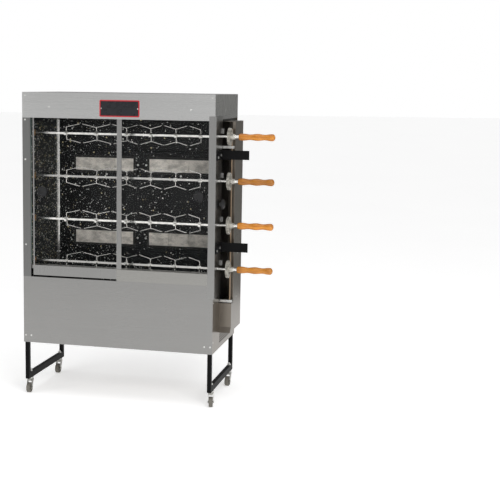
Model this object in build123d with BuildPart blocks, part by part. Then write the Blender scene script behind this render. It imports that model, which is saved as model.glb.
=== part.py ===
"""Gas rotisserie oven for poultry: four driven spits behind two sliding glass doors, on a wheeled frame.

Origin: on the floor, at the middle of the overall width and depth.
The front faces -Y, the drive and the spit handles are at +X, and +Z is up. All sizes are in mm.
"""

import os
from math import pi

from build123d import *

os.makedirs("parts", exist_ok=True)

# ---- driving dimensions of the cabinet ----
CAB_W = 970.0  # left face to right face
CAB_D = 500.0  # front plane to back plane
CAB_TOP = 1510.0  # floor to roof
BASE_Z = 266.0  # underside of the cabinet
SKIN = 1.5  # stainless sheet

# ---- front ----
FASCIA_Z = 1386.0  # lower edge of the hood fascia
SILL_TOP = 658.0
SILL_BOTTOM = 600.0
SILL_BODY_Z = 640.0
TRACK_TOP = 1410.0
TRACK_BACK_Y = 50.0
POST_W = 41.0  # left post, front view
RIGHT_POST_X = 968.0  # right end of the sill
MULLION_X = (485.0, 510.0)
MULLION_Y = (1.5, 4.5)
SEAT_X = 50.0  # left edge of the left door's seat
SEAT_Y = (8.0, 9.5)
SEAT_Z = 607.0
SEAT_STRIP = 8.0
SIDE_OVERLAP = 5.0  # side panels reach this far up behind the hood
HOOD_INNER = 1412.0

# ---- plate and openings of the skin ----
PLATE_AT = (498.5, 1437.0)
PLATE_SIZE = (200.0, 80.0)
PLATE_T = 1.2
PLATE_CORNER_R = 6.0
VENT_PITCH = 60.0
VENT_COUNT = 12
VENT_W = 8.0
VENTS = ((1260.0, 120.0), (420.0, 90.0))  # (middle height, length) of each row
LOUVRE_Y = (150.0, 375.0)
LOUVRE_Z = 293.5
LOUVRE_TALL = 5.0
LOUVRE_PITCH = 12.0
LOUVRE_COUNT = 5
MOTOR_WINDOW = ((170.0, 330.0), (380.0, 480.0))  # limits along Y and Z
SIDE_TOP_Z = 497.0
SIDE_FRONT_TOP_Z = 560.0

# ---- cooking chamber ----
LEFT_WALL_X = 20.0  # inner face of the left wall
RIGHT_WALL_X = 958.0  # inner face of the right wall
RIGHT_WALL_T = 2.0
WALL_SLOT = 9.0  # half the height of each spit's slot
CHAMBER_FRONT_Y = 50.0
BACK_WALL_Y = 420.0
CHAMBER_FLOOR_Z = 500.0
BURNER_X = (285.0, 686.0)  # centres of the burners
BURNER_Z = (757.0, 1139.0)
TILE_FACE = (104.0, 66.0)
TILE_PITCH = 105.5
TILE_T = 12.0
TILE_FRONT_Y = 410.0
HOUSING = (338.0, 90.0)
HOUSING_Y = (408.0, 462.0)
PLENUM = (300.0, 56.0)
TRAY_X = (34.0, 944.0)
TRAY_Y = (64.0, 410.0)
TRAY_Z = (501.5, 534.0)
TRAY_RIM = 6.0
TRAY_T = 2.0

# ---- sliding doors ----
GLASS_T = 6.0
DOOR_W = 462.0
FRONT_PANE_Y = 12.0
REAR_PANE_Y = 32.0
PANE_BOTTOM = 650.3
PANE_TOP = 1398.0
LEFT_DOOR_X = 38.0
RIGHT_DOOR_X = 484.0
GROOVE_GAP = 1.0
GROOVE_Z = 650.0
HEAD_GROOVE_Z = 1402.0
MULLION_TOP_Z = 1400.0
PULL_R = 25.0
PULL_IN = 60.0  # pull centre from the door's outer edge
PULL_Z = 1024.0
PULL_HOLE_R = 15.0
PULL_DISH = (18.0, 3.0)  # radius and depth
PULL_PROUD = (5.0, 4.0)  # before and behind the pane

# ---- spits ----
SPIT_Y = 105.0
SPIT_TOP_Z = 1310.0
SPIT_PITCH = 213.5
SPIT_COUNT = 4
SPIT_PHASE = (8.0, -6.0, 12.0, -10.0)
JOURNAL_R = 6.0
SQUARE = 10.0
SQUARE_X = (60.0, 920.0)
TIP_X = 16.0
GEAR_STOP = (1044.0, 1050.0, 9.0)  # start, end, radius
HANDLE_STOP = (1054.0, 1062.0, 8.0)
TANG_L = 140.0
TANG_R = 5.0
RUNNING = 0.08  # radial clearance of a running fit
BUSH_X = (10.0, 26.0)
BUSH_R = 10.0
BUSH_FLANGE_R = 17.0
SADDLE_X = (960.0, 968.0)
SADDLE_Y = (80.0, 125.0)
SADDLE_HALF = 16.0
FORK_X = (190.0, 348.0, 503.0, 626.0, 752.0, 876.0)
FORK_RISE = 31.0
FORK_REACH = 47.5
FORK_GAP = 7.0  # from the prong tips to the middle of the cell
WIRE_R = 2.0
FORK_COLLAR = (12.0, 16.0)  # radius and length
THUMBSCREW_R = 2.5
THUMBSCREW_HEAD = (6.5, 6.0)  # radius and height
HANDLE_START = 1062.0
HANDLE_L = 176.0

# ---- worm drive ----
TEETH = 30
GEAR_PITCH_R = 40.0
GEAR_TIP_R = 42.0
GEAR_ROOT_R = 37.5
GEAR_T = 12.0
GEAR_X = 1018.0
WORM_PITCH_R = 8.0
WORM_TIP_R = 9.5
WORM_CORE_R = 5.5
WORM_TURNS = 3
SHAFT_R = 4.0
GEAR_HUB_R = 13.0
GEAR_RIM = 6.0
GEAR_DISH = 3.0
SHAFT_Y = SPIT_Y + GEAR_PITCH_R + WORM_PITCH_R
LEAD = 2.0 * pi * GEAR_PITCH_R / TEETH
SHAFT_BOTTOM = 410.0
SHAFT_TOP = 1346.0
BRACKET_Z = (505.0, 1258.0)
MOTOR_BOX = ((976.0, 1027.0), (142.0, 206.0), (398.0, 470.0))
MOTOR_END_Y = 330.0
MOTOR_AT = (1001.0, 434.0)
MOTOR_R = 23.0

# ---- drive cover at the rear of the right side ----
COVER_X = 1030.0
COVER_Y = (178.0, 358.0)
COVER_Z = (352.0, 1381.0)
MOTOR_FRONT_Y = 138.0
MOTOR_TOP_Z = 495.0
COVER_LIP_X = 1016.0
APRON = (22.0, 24.0)  # reach and height of the sloped apron

# ---- corner cover at the front of the right side ----
CORNER_X = (941.0, 976.0)
CORNER_BACK_Y = 132.0
CORNER_Z = (537.0, 1408.0)
KNOB_Y = 92.0
KNOB_Z = 986.0
KNOB_STUD_R = 4.0
SLOT_HALF = 8.0
TAB_X = 984.0
TAB_RISE = (13.0, 38.0)  # limits of each tab above its spit
ARM_Z = (777.0, 1223.0)
ARM_TALL = 44.0
ARM_T = 5.0
ARM_TIP_X = 1113.0
ARM_BACK_Y = 110.0
FLANGE_FRONT_Y = 8.0
ARM_BOLTS = ((24.0, -8.0), (82.0, -1.0))  # (y, height above the arm's middle)

# ---- leg frame and casters ----
TUBE = 20.0
LEG_IN = 5.0
BAR_Z = (75.0, 105.0)
STEM_IN = 48.0
STEM_R = 5.0
STEM_Z = (54.6, 119.0)
STEM_FLANGE = (14.0, 5.0)  # radius and height
STEM_HEAD = (8.0, 5.0)  # radius and height
WHEEL_R = 25.0
WHEEL_W = 20.0
TRAIL = 20.0
AXLE_R = 4.0
CASTER_TURN = (-87.0, -77.0, -91.0, -95.0)
TUBE_WALL = 2.0

# ---- gas line ----
MANIFOLD_Y = 484.0
MANIFOLD_Z = 620.0
INLET_X = 120.0
INLET_PROUD = 26.0
FEED_SHIFT = 120.0  # feed pipe from each burner's centre
FEED_Y = 441.0
INLET_R = 9.0
INLET_BORE_R = 6.0

# ---- overall size sets the origin ----
HEAD_T = 1.5  # height of screw and rivet heads
HANDLE_END = HANDLE_START + HANDLE_L
XL = -HANDLE_END / 2.0
YF = -(CAB_D + INLET_PROUD - SKIN - HEAD_T) / 2.0


def block(x, y, z, mode=Mode.ADD):
    """Box between pairs of limits, from the cabinet's left face, its front plane and the floor."""
    with Locations((XL + sum(x) / 2, YF + sum(y) / 2, sum(z) / 2)):
        Box(x[1] - x[0], y[1] - y[0], z[1] - z[0], mode=mode)


def rod_x(x, y, z, radius, mode=Mode.ADD):
    """Cylinder along X between two limits."""
    with Locations(Location((XL + sum(x) / 2, YF + y, z), (0, 90, 0))):
        Cylinder(radius, x[1] - x[0], mode=mode)


def rod_y(x, y, z, radius, mode=Mode.ADD):
    """Cylinder along Y between two limits."""
    with Locations(Location((XL + x, YF + sum(y) / 2, z), (90, 0, 0))):
        Cylinder(radius, y[1] - y[0], mode=mode)


def rod_z(x, y, z, radius, mode=Mode.ADD):
    """Cylinder along Z between two limits."""
    with Locations((XL + x, YF + y, sum(z) / 2)):
        Cylinder(radius, z[1] - z[0], mode=mode)


def save(piece, label):
    """Labels a finished piece and writes its file."""
    piece.part.label = label
    export_step(piece.part, f"parts/{label}.step")


def save_set(solids, label):
    """Keeps solids that touch apart in one labelled file."""
    whole = Compound(children=solids)
    whole.label = label
    export_step(whole, f"parts/{label}.step")


spit_z = [SPIT_TOP_Z - i * SPIT_PITCH for i in range(SPIT_COUNT)]

# screws and rivets: (x, z) on the front, (y, z) on the right side
SCREW_R = 2.5
FRONT_SCREWS = [(15, 1376), (15, 1182), (15, 760), (11, 302), (40, 302), (959, 302), (930, 302)]
HOOD_RIVETS = [(15, 1494), (139, 1440), (851, 1437), (955, 1494)]
PLATE_RIVETS = [(407, 1437), (590, 1437)]
SIDE_SCREWS = [(12, 322), (12, 516), (484, 322)]
HOOD_SIDE_RIVETS = [(218, 1436)]
COVER_SCREWS = [(266, 1200), (266, 730), (250, 512)]
SCREW_HEAD_R = 4.5
BURNER_HEAD_R = 5.5
RIVET_HEAD_R = 4.0
RIVET_T = 1.2
AROUND_BURNER = [(-178, 0), (178, 0), (8, -52)]
BURNER_SCREWS = [(x + a, z + b) for x in BURNER_X for z in BURNER_Z for a, b in AROUND_BURNER]

# ---------------------------------------------------------------- cabinet skin
with BuildPart() as hood:
    block((0, CAB_W), (0, SKIN), (FASCIA_Z, CAB_TOP))
    block((0, CAB_W), (0, CAB_D - SKIN), (CAB_TOP - SKIN, CAB_TOP))
    block((0, SKIN), (0, CAB_D - SKIN), (FASCIA_Z + SIDE_OVERLAP, CAB_TOP))
    block((CAB_W - SKIN, CAB_W), (0, CAB_D - SKIN), (FASCIA_Z + SIDE_OVERLAP, CAB_TOP))
    for x, z in HOOD_RIVETS + PLATE_RIVETS:
        rod_y(x, (0, SKIN), z, SCREW_R, Mode.SUBTRACT)
    for y, z in HOOD_SIDE_RIVETS:
        rod_x((CAB_W - SKIN, CAB_W), y, z, SCREW_R, Mode.SUBTRACT)
save(hood, "hood")

with BuildPart() as name_plate:
    with BuildSketch(Plane.XZ.offset(-YF)) as plate_face:
        with Locations((XL + PLATE_AT[0], PLATE_AT[1])):
            RectangleRounded(*PLATE_SIZE, PLATE_CORNER_R)
        with Locations(*[(XL + x, z) for x, z in PLATE_RIVETS]):
            Circle(SCREW_R, mode=Mode.SUBTRACT)
    extrude(amount=PLATE_T)
save(name_plate, "name_plate")

with BuildPart() as left_side_panel:
    block((0, SKIN), (SKIN, CAB_D - SKIN), (BASE_Z, FASCIA_Z + SIDE_OVERLAP))
    block((0, POST_W), (0, SKIN), (SILL_BOTTOM, FASCIA_Z))
    block((POST_W - SKIN, POST_W), (SKIN, SEAT_Y[0]), (SILL_BOTTOM, FASCIA_Z))
    for x, z in FRONT_SCREWS[:3]:
        rod_y(x, (0, SKIN), z, SCREW_R, Mode.SUBTRACT)
save(left_side_panel, "left_side_panel")

with BuildPart() as back_panel:
    block((0, CAB_W), (CAB_D - SKIN, CAB_D), (BASE_Z, CAB_TOP))
    for height, length in VENTS:
        with Locations(Location((XL + CAB_W / 2, YF + CAB_D - SKIN / 2, height), (90, 0, 0))):
            with GridLocations(VENT_PITCH, 0, VENT_COUNT, 1):
                Box(VENT_W, length, SKIN, mode=Mode.SUBTRACT)
    rod_y(INLET_X, (CAB_D - SKIN, CAB_D), MANIFOLD_Z, 12, Mode.SUBTRACT)
save(back_panel, "back_panel")

with BuildPart() as lower_front_panel:
    block((0, CAB_W), (0, SKIN), (BASE_Z, SILL_BOTTOM))
    block((SKIN, CAB_W - SKIN), (SKIN, 14), (SILL_BOTTOM - SKIN, SILL_BOTTOM))
    for x, z in FRONT_SCREWS[3:]:
        rod_y(x, (0, SKIN), z, SCREW_R, Mode.SUBTRACT)
save(lower_front_panel, "lower_front_panel")

with BuildPart() as lower_side_panel:
    block((CAB_W - SKIN, CAB_W), (SKIN, CAB_D - SKIN), (BASE_Z, SIDE_TOP_Z))
    block((CAB_W - SKIN, CAB_W), (SKIN, CORNER_BACK_Y), (SIDE_TOP_Z, SIDE_FRONT_TOP_Z))
    for i in range(LOUVRE_COUNT):
        low = LOUVRE_Z + i * LOUVRE_PITCH
        block((CAB_W - SKIN, CAB_W), LOUVRE_Y, (low, low + LOUVRE_TALL), Mode.SUBTRACT)
    block((CAB_W - SKIN, CAB_W), *MOTOR_WINDOW, Mode.SUBTRACT)
    for y, z in SIDE_SCREWS:
        rod_x((CAB_W - SKIN, CAB_W), y, z, SCREW_R, Mode.SUBTRACT)
save(lower_side_panel, "lower_side_panel")

with BuildPart() as base_pan:
    block((SKIN, CAB_W - SKIN), (SKIN, CAB_D - SKIN), (BASE_Z, BASE_Z + SKIN))
    block((SKIN, CAB_W - SKIN), (SKIN, 2 * SKIN), (BASE_Z, BASE_Z + 20))
    block((SKIN, CAB_W - SKIN), (CAB_D - 2 * SKIN, CAB_D - SKIN), (BASE_Z, BASE_Z + 20))
    for x, z in FRONT_SCREWS[3:]:
        rod_y(x, (SKIN, 2 * SKIN), z, SCREW_R, Mode.SUBTRACT)
save(base_pan, "base_pan")

# ---------------------------------------------------------------- door frame
with BuildPart() as door_sill:
    block((LEFT_WALL_X, MULLION_X[0]), (SEAT_Y[1], TRACK_BACK_Y), (SILL_BODY_Z, SILL_TOP))
    block((MULLION_X[0], RIGHT_WALL_X), (SKIN, TRACK_BACK_Y), (SILL_BODY_Z, SILL_TOP))
    block((MULLION_X[0], RIGHT_POST_X), (0, SKIN), (SILL_BOTTOM, SILL_TOP))
    for y in (FRONT_PANE_Y, REAR_PANE_Y):
        groove = (y - GROOVE_GAP, y + GLASS_T + GROOVE_GAP)
        block((LEFT_WALL_X, RIGHT_WALL_X), groove, (GROOVE_Z, SILL_TOP), Mode.SUBTRACT)
save(door_sill, "door_sill")

with BuildPart() as door_head_track:
    block((LEFT_WALL_X, RIGHT_WALL_X), (SEAT_Y[0], TRACK_BACK_Y), (FASCIA_Z + 1, TRACK_TOP))
    for y in (FRONT_PANE_Y, REAR_PANE_Y):
        groove = (y - GROOVE_GAP, y + GLASS_T + GROOVE_GAP)
        block((LEFT_WALL_X, RIGHT_WALL_X), groove, (FASCIA_Z + 1, HEAD_GROOVE_Z), Mode.SUBTRACT)
save(door_head_track, "door_head_track")

with BuildPart() as door_frame:
    block(MULLION_X, MULLION_Y, (SILL_TOP, MULLION_TOP_Z))
    block((SEAT_X, MULLION_X[0]), SEAT_Y, (SEAT_Z, SILL_TOP))
    block((SEAT_X, SEAT_X + SEAT_STRIP), SEAT_Y, (SILL_TOP, FASCIA_Z + 1))
save(door_frame, "door_frame")

# ---------------------------------------------------------------- chamber
with BuildPart() as chamber_left_wall:
    block((LEFT_WALL_X - SKIN, LEFT_WALL_X), (CHAMBER_FRONT_Y, BACK_WALL_Y), (CHAMBER_FLOOR_Z, TRACK_TOP))
    for z in spit_z:
        rod_x((LEFT_WALL_X - SKIN, LEFT_WALL_X), SPIT_Y, z, BUSH_R, Mode.SUBTRACT)
save(chamber_left_wall, "chamber_left_wall")

with BuildPart() as chamber_right_wall:
    wall_x = (RIGHT_WALL_X, RIGHT_WALL_X + RIGHT_WALL_T)
    block(wall_x, (CHAMBER_FRONT_Y, CAB_D - SKIN), (CHAMBER_FLOOR_Z, TRACK_TOP))
    for z in spit_z:
        block(wall_x, (CHAMBER_FRONT_Y, SPIT_Y), (z - WALL_SLOT, z + WALL_SLOT), Mode.SUBTRACT)
        rod_x(wall_x, SPIT_Y, z, WALL_SLOT, Mode.SUBTRACT)
    rod_x(wall_x, KNOB_Y, KNOB_Z, KNOB_STUD_R + RUNNING, Mode.SUBTRACT)
save(chamber_right_wall, "chamber_right_wall")

with BuildPart() as chamber_back_wall:
    block((LEFT_WALL_X, RIGHT_WALL_X), (BACK_WALL_Y, BACK_WALL_Y + SKIN), (CHAMBER_FLOOR_Z, HOOD_INNER))
    block((LEFT_WALL_X, RIGHT_WALL_X), (CHAMBER_FRONT_Y, BACK_WALL_Y + SKIN), (HOOD_INNER - SKIN, HOOD_INNER))
    for x in BURNER_X:
        for z in BURNER_Z:
            wide = (x - HOUSING[0] / 2, x + HOUSING[0] / 2)
            tall = (z - HOUSING[1] / 2, z + HOUSING[1] / 2)
            block(wide, (BACK_WALL_Y, BACK_WALL_Y + SKIN), tall, Mode.SUBTRACT)
    for x, z in BURNER_SCREWS:
        rod_y(x, (BACK_WALL_Y, BACK_WALL_Y + SKIN), z, SCREW_R, Mode.SUBTRACT)
save(chamber_back_wall, "chamber_back_wall")

with BuildPart() as chamber_floor:
    floor_z = (CHAMBER_FLOOR_Z, CHAMBER_FLOOR_Z + SKIN)
    block((LEFT_WALL_X, RIGHT_WALL_X), (CHAMBER_FRONT_Y, BACK_WALL_Y), floor_z)
    upstand = (CHAMBER_FRONT_Y, CHAMBER_FRONT_Y + SKIN)
    block((LEFT_WALL_X, RIGHT_WALL_X), upstand, (CHAMBER_FLOOR_Z, GROOVE_Z))
save(chamber_floor, "chamber_floor")

with BuildPart() as drip_tray:
    basin_x = (TRAY_X[0] + TRAY_RIM, TRAY_X[1] - TRAY_RIM)
    basin_y = (TRAY_Y[0] + TRAY_RIM, TRAY_Y[1] - TRAY_RIM)
    block(basin_x, basin_y, TRAY_Z)
    block(TRAY_X, TRAY_Y, (TRAY_Z[1] - TRAY_T, TRAY_Z[1]))
    inner_x = (basin_x[0] + TRAY_T, basin_x[1] - TRAY_T)
    inner_y = (basin_y[0] + TRAY_T, basin_y[1] - TRAY_T)
    block(inner_x, inner_y, (TRAY_Z[0] + TRAY_T, TRAY_Z[1]), Mode.SUBTRACT)
save(drip_tray, "drip_tray")

# ---------------------------------------------------------------- burners and gas
with BuildPart() as burner_housings:
    for x in BURNER_X:
        for z in BURNER_Z:
            wide = (x - HOUSING[0] / 2, x + HOUSING[0] / 2)
            tall = (z - HOUSING[1] / 2, z + HOUSING[1] / 2)
            row = TILE_PITCH + TILE_FACE[0] / 2
            tile_tall = (z - TILE_FACE[1] / 2, z + TILE_FACE[1] / 2)
            tile_back = TILE_FRONT_Y + TILE_T
            block(wide, HOUSING_Y, tall)
            block((x - row, x + row), (HOUSING_Y[0], tile_back), tile_tall, Mode.SUBTRACT)
            plenum_x = (x - PLENUM[0] / 2, x + PLENUM[0] / 2)
            plenum_z = (z - PLENUM[1] / 2, z + PLENUM[1] / 2)
            block(plenum_x, (tile_back, HOUSING_Y[1] - TRAY_T), plenum_z, Mode.SUBTRACT)
            rod_z(x + FEED_SHIFT, FEED_Y, (z - 75, z - 43), 11)
            rod_z(x + FEED_SHIFT, FEED_Y, (z - 75, z - 26), 8, Mode.SUBTRACT)
save(burner_housings, "burner_housings")

with BuildPart() as burner_tiles:
    for x in BURNER_X:
        for z in BURNER_Z:
            for i in (-1, 0, 1):
                middle = x + i * TILE_PITCH
                face = (middle - TILE_FACE[0] / 2, middle + TILE_FACE[0] / 2)
                tall = (z - TILE_FACE[1] / 2, z + TILE_FACE[1] / 2)
                block(face, (TILE_FRONT_Y, TILE_FRONT_Y + TILE_T), tall)
save(burner_tiles, "burner_tiles")

with BuildPart() as gas_manifold:
    rod_x((INLET_X - 30, 830), MANIFOLD_Y, MANIFOLD_Z, 8)
    for x in BURNER_X:
        feed = x + FEED_SHIFT
        for z in BURNER_Z:
            rod_z(feed, FEED_Y, (z - 100, z - 55), 5)
        block((feed - 5, feed + 5), (FEED_Y, MANIFOLD_Y), (MANIFOLD_Z - 5, MANIFOLD_Z + 5))
        rod_z(feed, FEED_Y, (MANIFOLD_Z - 5, BURNER_Z[0] - 90), 5)
        block((feed - 20, feed - 10), (475, 485), (MANIFOLD_Z, BURNER_Z[1] - 94))
        block((feed - 20, feed + 5), (FEED_Y - 5, 485), (BURNER_Z[1] - 104, BURNER_Z[1] - 94))
save(gas_manifold, "gas_manifold")

with BuildPart() as gas_inlet:
    rod_y(INLET_X, (492, CAB_D + INLET_PROUD - SKIN), MANIFOLD_Z, INLET_R)
    with BuildSketch(Plane.XZ.offset(-YF - CAB_D)) as inlet_hex:
        with Locations((XL + INLET_X, MANIFOLD_Z)):
            RegularPolygon(16, 6)
    extrude(amount=-9)
    rod_y(INLET_X, (493, CAB_D + INLET_PROUD - SKIN), MANIFOLD_Z, INLET_BORE_R, Mode.SUBTRACT)
save(gas_inlet, "gas_inlet")

# ---------------------------------------------------------------- doors
for side, door_x, pane_y, pull_x in (
    ("left", LEFT_DOOR_X, FRONT_PANE_Y, LEFT_DOOR_X + PULL_IN),
    ("right", RIGHT_DOOR_X, REAR_PANE_Y, RIGHT_DOOR_X + DOOR_W - PULL_IN),
):
    with BuildPart() as door_glass:
        block((door_x, door_x + DOOR_W), (pane_y, pane_y + GLASS_T), (PANE_BOTTOM, PANE_TOP))
        chamfer(door_glass.edges().filter_by(Axis.Z), 0.8)
        rod_y(pull_x, (pane_y, pane_y + GLASS_T), PULL_Z, PULL_HOLE_R, Mode.SUBTRACT)
    save(door_glass, f"{side}_door_glass")

    with BuildPart() as door_pull:
        face_y = pane_y - PULL_PROUD[0]
        rear_y = pane_y + GLASS_T
        rod_y(pull_x, (face_y, pane_y), PULL_Z, PULL_R)
        rod_y(pull_x, (pane_y, rear_y), PULL_Z, PULL_HOLE_R)
        rod_y(pull_x, (rear_y, rear_y + PULL_PROUD[1]), PULL_Z, PULL_R)
        rod_y(pull_x, (face_y, face_y + PULL_DISH[1]), PULL_Z, PULL_DISH[0], Mode.SUBTRACT)
        fillet(door_pull.edges().group_by(Axis.Y)[0].sort_by(SortBy.RADIUS)[-1], 1.5)
    save(door_pull, f"{side}_door_pull")

# ---------------------------------------------------------------- spits
with BuildPart() as shaft_form:
    with BuildSketch(Plane.YZ.offset(TIP_X)):
        Circle(JOURNAL_R)
    extrude(amount=HANDLE_START - TIP_X)
    with BuildSketch(Plane.YZ.offset(SQUARE_X[0])):
        Rectangle(SQUARE, SQUARE)
    extrude(amount=SQUARE_X[1] - SQUARE_X[0])
    with BuildSketch(Plane.YZ.offset(SQUARE_X[0])):
        Circle(2 * SQUARE)
        Rectangle(SQUARE, SQUARE, mode=Mode.SUBTRACT)
    extrude(amount=SQUARE_X[1] - SQUARE_X[0], mode=Mode.SUBTRACT)
    for start, end, radius in (GEAR_STOP, HANDLE_STOP, (HANDLE_START, HANDLE_START + TANG_L, TANG_R)):
        with BuildSketch(Plane.YZ.offset(start)):
            Circle(radius)
        extrude(amount=end - start)

with BuildPart() as forks_form:
    for i, x in enumerate(FORK_X):
        before = FORK_X[i - 1] if i else x - 2 * FORK_GAP
        after = FORK_X[i + 1] if x < FORK_X[-1] else x + 2 * FORK_GAP
        left = (x - before) / 2 - FORK_GAP
        right = (after - x) / 2 - FORK_GAP
        with BuildSketch(Plane.YZ.offset(x - FORK_COLLAR[1] / 2)):
            Circle(FORK_COLLAR[0])
        extrude(amount=FORK_COLLAR[1])
        for side in (-1, 1):
            with Locations((x, 0, side * (FORK_RISE + 10) / 2)):
                Cylinder(WIRE_R, FORK_RISE - 10)
            with Locations((x, 0, side * FORK_RISE)):
                Sphere(WIRE_R)
            for reach in (-left, right):
                if reach:
                    start = Vector(x, 0, side * FORK_RISE)
                    end = Vector(x + reach, 0, side * FORK_REACH)
                    with BuildSketch(Plane(origin=start, z_dir=end - start)):
                        Circle(WIRE_R)
                    extrude(amount=(end - start).length)
        with BuildSketch(Plane.YZ.offset(x - FORK_COLLAR[1] / 2)):
            Rectangle(SQUARE, SQUARE)
        extrude(amount=FORK_COLLAR[1], mode=Mode.SUBTRACT)
        with Locations(Location((x, -8.5, 0), (90, 0, 0))):
            Cylinder(THUMBSCREW_R, 7.2, mode=Mode.SUBTRACT)

with BuildPart() as screws_form:
    for x in FORK_X:
        with Locations(Location((x, -11.5, 0), (90, 0, 0))):
            Cylinder(THUMBSCREW_R, 13)
        with Locations(Location((x, -20.0, 0), (90, 0, 0))):
            Cylinder(*THUMBSCREW_HEAD)

with BuildPart() as gear_form:
    with BuildSketch(Plane.YZ.offset(GEAR_X - GEAR_T / 2)):
        Circle(GEAR_ROOT_R)
        with PolarLocations(0, TEETH, start_angle=180.0 / TEETH):
            with Locations((GEAR_ROOT_R - 1, 0)):
                tip = GEAR_TIP_R - GEAR_ROOT_R + 1
                Polygon((0, -2.2), (tip, -1.2), (tip, 1.2), (0, 2.2), align=None)
    extrude(amount=GEAR_T)
    with BuildSketch(Plane.YZ.offset(GEAR_X - GEAR_T / 2)):
        Circle(GEAR_ROOT_R - GEAR_RIM)
        Circle(GEAR_HUB_R, mode=Mode.SUBTRACT)
    extrude(amount=GEAR_DISH, mode=Mode.SUBTRACT)
    with BuildSketch(Plane.YZ.offset(GEAR_X + GEAR_T / 2)):
        Circle(GEAR_ROOT_R - GEAR_RIM)
        Circle(GEAR_HUB_R, mode=Mode.SUBTRACT)
    extrude(amount=-GEAR_DISH, mode=Mode.SUBTRACT)
    with BuildSketch(Plane.YZ.offset(GEAR_X)):
        with PolarLocations(0, 6):
            with Locations((16, 0)):
                Polygon((0, -3), (12, -8), (12, 8), (0, 3), align=None)
    extrude(amount=GEAR_T, both=True, mode=Mode.SUBTRACT)
    with BuildSketch(Plane.YZ.offset(GEAR_X)):
        Circle(GEAR_HUB_R)
    extrude(amount=GEAR_STOP[0] - GEAR_X)
    with BuildSketch(Plane.YZ.offset(GEAR_X - 20)):
        Circle(JOURNAL_R)
    extrude(amount=60, mode=Mode.SUBTRACT)

with BuildPart() as handle_form:
    with BuildSketch(Plane.XZ):
        with BuildLine():
            Line((HANDLE_START, 5), (HANDLE_START, 13))
            Spline(
                (HANDLE_START, 13),
                (HANDLE_START + 22, 17),
                (HANDLE_START + 50, 13.5),
                (HANDLE_START + 84, 16.5),
                (HANDLE_START + 122, 13),
                (HANDLE_START + 156, 17),
                (HANDLE_END, 9),
            )
            Line((HANDLE_END, 9), (HANDLE_END, 0))
            Polyline(
                (HANDLE_END, 0),
                (HANDLE_START + 140, 0),
                (HANDLE_START + 140, 5),
                (HANDLE_START, 5),
            )
        make_face()
    revolve(axis=Axis.X)

fork_solids = [*forks_form.part.solids(), *screws_form.part.solids()]

for k, z in enumerate(spit_z):
    rest = Location((XL, YF + SPIT_Y, z), (SPIT_PHASE[k], 0, 0))
    with BuildPart() as spit_shaft:
        with Locations(rest):
            add(shaft_form.part)
    save(spit_shaft, f"spit_{k + 1}_shaft")

    save_set([solid.moved(rest) for solid in fork_solids], f"spit_{k + 1}_forks")

    with BuildPart() as spit_gear:
        with Locations((XL, YF + SPIT_Y, z)):
            add(gear_form.part)
    save(spit_gear, f"spit_{k + 1}_gear")

    with BuildPart() as spit_handle:
        with Locations((XL, YF + SPIT_Y, z)):
            add(handle_form.part)
    save(spit_handle, f"spit_{k + 1}_handle")

with BuildPart() as spit_bushes:
    for z in spit_z:
        rod_x(BUSH_X, SPIT_Y, z, BUSH_R)
        rod_x((LEFT_WALL_X, LEFT_WALL_X + 3), SPIT_Y, z, BUSH_FLANGE_R)
        rod_x((BUSH_X[0] + 4, BUSH_X[1]), SPIT_Y, z, JOURNAL_R + RUNNING, Mode.SUBTRACT)
save(spit_bushes, "spit_bushes")

with BuildPart() as spit_saddles:
    for z in spit_z:
        mouth = JOURNAL_R + RUNNING
        block(SADDLE_X, SADDLE_Y, (z - SADDLE_HALF, z + SADDLE_HALF))
        block(SADDLE_X, (SADDLE_Y[0], SPIT_Y), (z - mouth, z + mouth), Mode.SUBTRACT)
        rod_x(SADDLE_X, SPIT_Y, z, mouth, Mode.SUBTRACT)
save(spit_saddles, "spit_saddles")

# ---------------------------------------------------------------- worm drive
with BuildPart() as worm_form:
    Cylinder(WORM_CORE_R, WORM_TURNS * LEAD + 8)
    with BuildLine() as thread_path:
        Helix(LEAD, WORM_TURNS * LEAD, WORM_CORE_R - 0.5, center=(0, 0, -WORM_TURNS * LEAD / 2))
    with BuildSketch(Plane(thread_path.line @ 0, x_dir=(1, 0, 0), z_dir=thread_path.line % 0)):
        height = WORM_TIP_R - WORM_CORE_R + 0.5
        Polygon((0, -1.35), (height, -0.75), (height, 0.75), (0, 1.35), align=None)
    sweep(path=thread_path.line, is_frenet=True)

with BuildPart() as drive_shaft:
    rod_z(GEAR_X, SHAFT_Y, (SHAFT_BOTTOM, SHAFT_TOP), SHAFT_R)
    for z in spit_z:
        with Locations(Location((XL + GEAR_X, YF + SHAFT_Y, z), (0, 0, 90))):
            add(worm_form.part)
save(drive_shaft, "drive_shaft")

with BuildPart() as shaft_brackets:
    for z in BRACKET_Z:
        block((960, 964), (SHAFT_Y - 10, SHAFT_Y + 10), (z - 6, z + 20))
        block((960, 1030), (SHAFT_Y - 10, SHAFT_Y + 10), (z - 6, z + 6))
        rod_z(GEAR_X, SHAFT_Y, (z - 6, z + 6), SHAFT_R + RUNNING, Mode.SUBTRACT)
save(shaft_brackets, "shaft_brackets")

with BuildPart() as gear_motor:
    block(*MOTOR_BOX)
    rod_z(GEAR_X, SHAFT_Y, (SHAFT_BOTTOM - 5, MOTOR_BOX[2][1]), SHAFT_R + RUNNING, Mode.SUBTRACT)
    rod_y(MOTOR_AT[0], (MOTOR_BOX[1][1], MOTOR_END_Y), MOTOR_AT[1], MOTOR_R)
save(gear_motor, "gear_motor")

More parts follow.
